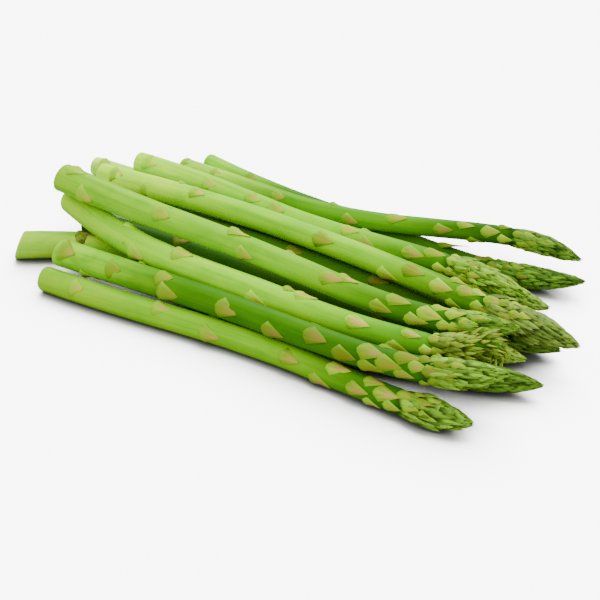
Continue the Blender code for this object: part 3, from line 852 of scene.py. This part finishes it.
BUD_LENGTH, BUD_WIDTH, BUD_HEIGHT = 1.75, 0.46, 1.0  # as multiples of the head's radius there
BUD_BROADER, BROAD_TO = 0.45, 0.75  # how much wider the first ones are, and the share where that ends
BUD_STEP, LEAST_STEP = 0.045, 0.00004  # from one bud to the next: a multiple of that radius, and metres
BUDS_BEFORE, BUDS_SHORT = 0.002, 0.0015  # metres: how far before the head they start, and end short of it
BUDS_MISSING = 0.2  # the share of buds that an open head lacks
THREADS_FROM = 0.45  # the share of the wilted head past which some buds hang as threads
THREAD_LENGTH = 0.0085  # metres at most
BUD_ROUGHENING = 0.0006  # metres


def bud_half_width(v):
    if v < 0.2:
        return 0.5 * (0.6 + 0.4 * math.sin(v / 0.2 * math.pi / 2))
    return 0.5 * (1 - (v - 0.2) / 0.8) ** 0.8 + 0.01


def bud_height(u, v):
    return 0.26 * math.sin(math.pi * min(v * 0.8 + 0.2, 1.0)) ** 0.8 * (1 - u * u) - 0.16 + 0.12 * v


bud_leaf = leaf_mesh("bud_leaf", bud_half_width, bud_height, 0.16, 0.05, 6, 3)

# per spear: (middle colour, pale colour, tip colour, how open the head is)
HEADS = {
    "a": (paint(12, 27, 2.1), paint(27, 54, 3), paint(32, 52, 4), 0.3),
    "b": (paint(17, 29, 2), paint(40, 57, 5), paint(56, 48, 9), 1.2),
    "c": (paint(10, 23, 2.1), paint(20, 42, 2.4), paint(18, 27, 4), 0.2),
    "d": (paint(14, 30, 2.1), paint(29, 62, 3.2), paint(36, 52, 7.2), 0.45),
    "e": (paint(13, 28, 2.1), paint(28, 58, 3.2), paint(34, 46, 8.8), 0.55),
    "f": (paint(24, 46, 4), paint(48, 80, 8.8), paint(50, 60, 15.2), 0.3),
    "g": (paint(13, 23, 3), paint(30, 47, 5.6), paint(38, 40, 13.6), 0.45),
    "h": (paint(16, 36, 2), paint(36, 66, 4), paint(46, 58, 9), 0.7),
    "i": (paint(8, 20, 1.6), paint(23, 46, 2.7), paint(22, 30, 5.6), 0.35),
    "j": (paint(8, 20, 2.1), paint(20, 44, 2.2), paint(14, 22, 4), 0.25),
    "k": (paint(7, 17, 1.8), paint(17, 33, 2.4), paint(16, 20, 4), 0.25),
    "l": (paint(32, 58, 5.6), paint(60, 92, 8.8), paint(64, 72, 15.2), 0.3),
}


def bud_skin(name, middle, pale, tip):
    skin, tree, shader = new_skin("bud_skin_" + name)
    blade, tint = measure(tree, "blade"), measure(tree, "tint")
    place = Wire.add(tree, "ShaderNodeTexCoord", {}, {}, "Object")
    across, along = blade.part(0).abs(), blade.part(1)
    tan, dark, draw = tint.part(0), tint.part(1), tint.part(2)
    cloud = (place * (700.0, 700.0, 700.0)).noise(3.0, 0.6)
    veins = vector(tree, across * 7.0 + draw * 40.0, along * 1.5, draw * 9.0).noise(2.0, 0.6)
    # each bud is darkened towards its root: painted shade where it tucks under the buds before it
    deep = dimmed(middle, 0.3, 0.3, 0.3)
    colour = along.rise(0.15, 0.55).blend(deep, middle)
    colour = (draw.rise(0.35, 0.9) * along.rise(0.2, 0.5) * 0.8).blend(colour, pale)
    colour = (veins.rise(0.45, 0.65) * along.rise(0.2, 0.5) * 0.6).blend(colour, pale)
    colour = (across.rise(0.5, 0.95) * along.rise(0.2, 0.5) * 0.7).blend(colour, pale)
    colour = (along.rise(0.65, 1.0) * tan * 0.7).blend(colour, tip)
    colour = dark.blend(colour, deep)
    colour = ((1 - cloud).rise(0.5, 0.7) * 0.5).blend(colour, deep)
    dress(tree, shader, colour, 0.42 + cloud * 0.2, veins * 0.8 + cloud * 0.5, 0.0003, 0.05)
    return skin


# The roots of a head's buds, which go on where the spiral of the scales ended
def bud_roots(name, spear, openness):
    shoot = shoots[name]
    angle, draw = spirals[name]
    roots = []
    s = spear["head_from"] - BUDS_BEFORE
    while s < shoot.length - BUDS_SHORT:
        r = shoot.skin(s)
        share = (s - spear["head_from"]) / (shoot.length - spear["head_from"])
        broad = 1 - min(max(share / BROAD_TO, 0), 1)
        length = BUD_LENGTH * r * (1.1 - 0.3 * share) * (0.75 + 0.5 * draw.rand())
        length = min(length, shoot.length - s + 0.0005)
        width = (BUD_WIDTH + BUD_BROADER * broad) * r * (0.75 + 0.5 * draw.rand())
        height = BUD_HEIGHT * r * (0.8 + 0.4 * draw.rand())
        taper = (shoot.skin(min(s + length, shoot.length)) - r) / length
        opened = math.atan(taper) * 0.9 + 0.03 + 0.4 * draw.rand() ** 2 * openness * (1 - share)
        if name == "b" and share > THREADS_FROM and draw.rand() < 0.5:
            length, width = min(length * 1.5, THREAD_LENGTH), width * 0.4
            opened += 0.3
        size = (length, width, height)
        tint = (0.3 + 0.6 * draw.rand(), 0.9 * draw.rand() ** 3, draw.rand())
        yaw = 0.3 * (draw.rand() - 0.5)
        turn = math.radians(angle)
        if draw.rand() > BUDS_MISSING * openness:
            roots.append(root(s, turn, size, 0.1 * r, opened, yaw, 0.3 * (draw.rand() - 0.5), tint))
        s += BUD_STEP * r + LEAST_STEP
        angle += GOLDEN_ANGLE + 14 * (draw.rand() - 0.5)
    return roots


for name, spear in SPEARS.items():
    middle, pale, tip, openness = HEADS[name]
    roots = bud_roots(name, spear, openness)
    skin = bud_skin(name, middle, pale, tip)
    head = set_leaves("head_" + name, name, bud_leaf, roots, BUD_ROUGHENING, spear["seed"], skin)
    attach(head, "root")
    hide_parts("spear_" + name)
bpy.data.objects.remove(bud_leaf)


# The surface, the light and the camera
# The bundle lies on a plain white surface, seen from the front right, from 35 degrees above. A white tent of
# light stands over it, with one soft light behind. The surface has a light of its own that keeps it white,
# and near the spears its colour is darkened as a painted contact shadow; a plain sheet just under it throws
# back at the spears what a table would.

FLOOR = 6.0  # half the width of the surface
SHADOW_REACH = 0.025  # how far the painted contact shadow of a spear reaches on the surface


def floor_sheet(name, height, white):
    mesh = bpy.data.meshes.new(name)
    corners = [(x * FLOOR, y * FLOOR, height) for x, y in ((-1, -1), (1, -1), (1, 1), (-1, 1))]
    mesh.from_pydata(corners, [], [(0, 1, 2, 3)])
    sheet = bpy.data.objects.new(name, mesh)
    bpy.context.scene.collection.objects.link(sheet)
    paper, tree, shader = new_skin(name)
    reach = {"Distance": SHADOW_REACH}
    # the surface's colour is darkened where an occlusion node finds the spears close: painted contact shadow
    open_sky = Wire.add(tree, "ShaderNodeAmbientOcclusion", {"samples": 16}, reach, "AO")
    tree.links.new((open_sky.rise(0.18, 0.92, 0.09) * white).socket, shader.inputs["Base Color"])
    shader.inputs["Roughness"].default_value = 0.9
    shader.inputs["Specular IOR Level"].default_value = 0.1
    mesh.materials.append(paper)
    sheet.visible_shadow = False
    return sheet


surface = floor_sheet("surface", 0.0, 0.9)
surface.visible_diffuse = surface.visible_glossy = False
bounce = floor_sheet("surface_below", -0.0005, 0.42)
bounce.visible_camera = False

TENT_SIDE, TENT_TOP = 0.5, 2.15  # how bright the tent is low down and overhead
tent = bpy.data.worlds.new("light_tent")
bpy.context.scene.world = tent
tent.use_nodes = True
height = Wire.add(tent.node_tree, "ShaderNodeTexCoord", {}, {}, "Generated").part(2)
strength = height.rise(-0.1, 0.5, TENT_SIDE, TENT_TOP)
cloth = tent.node_tree.nodes["Background"]
tent.node_tree.links.new(strength.socket, cloth.inputs["Strength"])
cloth.inputs["Color"].default_value = (1, 1, 0.97, 1)


# A light at a great distance: where it comes from, how strong it is and how wide it looks, in degrees
def far_light(name, place, power, wide):
    lamp = bpy.data.lights.new(name, "SUN")
    lamp.energy, lamp.angle = power, math.radians(wide)
    obj = bpy.data.objects.new(name, lamp)
    obj.rotation_euler = Vector(place).to_track_quat("Z", "Y").to_euler()
    bpy.context.scene.collection.objects.link(obj)
    return obj


far_light("light_behind", (-0.4, 0.8, 0.65), 3.0, 40)
surface_light = far_light("surface_light", (-0.1, 0.6, 1.0), 24.0, 60)
surface_alone = bpy.data.collections.new("surface_alone")
surface_alone.objects.link(surface)
surface_light.light_linking.receiver_collection = surface_alone

AZIMUTH, ELEVATION, DISTANCE = math.radians(30), math.radians(35), 0.75
# the camera looks at the spot that is the origin of the plan, a centimetre up
LOOK_AT = np.array([-MIDDLE[0] * MM, -MIDDLE[1] * MM, 0.010])
back = np.array([
    math.sin(AZIMUTH) * math.cos(ELEVATION), -math.cos(AZIMUTH) * math.cos(ELEVATION), math.sin(ELEVATION),
])
view = bpy.data.cameras.new("camera")
view.lens, view.sensor_width = 100, 36
camera = bpy.data.objects.new("camera", view)
camera.location = LOOK_AT + back * DISTANCE
camera.rotation_euler = Vector(back).to_track_quat("Z", "Y").to_euler()
bpy.context.scene.collection.objects.link(camera)
bpy.context.scene.camera = camera
